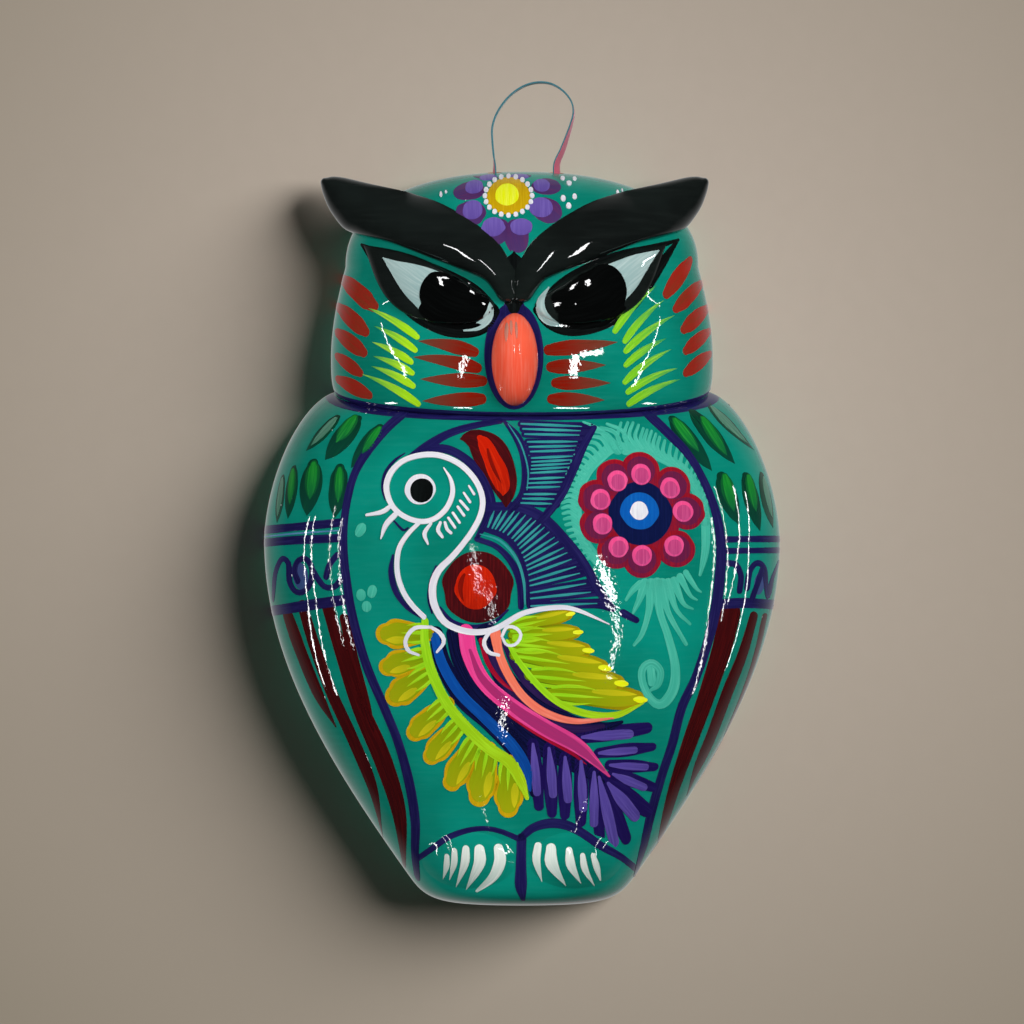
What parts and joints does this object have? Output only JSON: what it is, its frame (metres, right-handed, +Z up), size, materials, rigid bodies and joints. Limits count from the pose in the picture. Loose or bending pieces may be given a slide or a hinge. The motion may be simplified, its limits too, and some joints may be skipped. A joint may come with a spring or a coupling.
{
  "type": "ceramic owl wall hanging",
  "caption": "Painted hollow pottery owl with horned brows, domed eyes and beak, open at the back, hung on a wall by a knotted ribbon loop in its crown.",
  "frame": {"origin": "on the wall plane, in the middle of the back rim's thickness under the top of the crown", "axes": "+Z up the owl, +X to the viewer's right, +Y into the wall, so the front faces -Y"},
  "size_m": [0.141, 0.0426, 0.2256],
  "materials": {
    "glazed_clay": "terracotta painted teal under a clear gloss varnish",
    "black_paint": "black paint under a clear gloss varnish",
    "eye_paint": "black and pale blue paint under a clear gloss varnish",
    "coral_paint": "coral paint under a clear gloss varnish",
    "ribbon": "narrow woven ribbon, teal on one face and pink on the other"
  },
  "bodies": {
    "owl": {"head_shell": "glazed_clay", "body_shell": "glazed_clay", "brow_left": "black_paint", "brow_right": "black_paint", "eye_left": "eye_paint", "eye_right": "eye_paint", "beak": "coral_paint", "foot_left": "glazed_clay", "foot_right": "glazed_clay", "ribbon_tail_left": "ribbon", "ribbon_tail_right": "ribbon", "knot_left": "ribbon", "knot_right": "ribbon"},
    "loop": {"ribbon_loop": "ribbon"}
  },
  "joints": [
    {"name": "loop_swing", "type": "hinge", "parent": "owl", "child": "loop", "pos_m": [0.001, -0.005, 0.00475], "axis": [1, 0, 0], "range_deg": [-85, 90]}
  ]
}
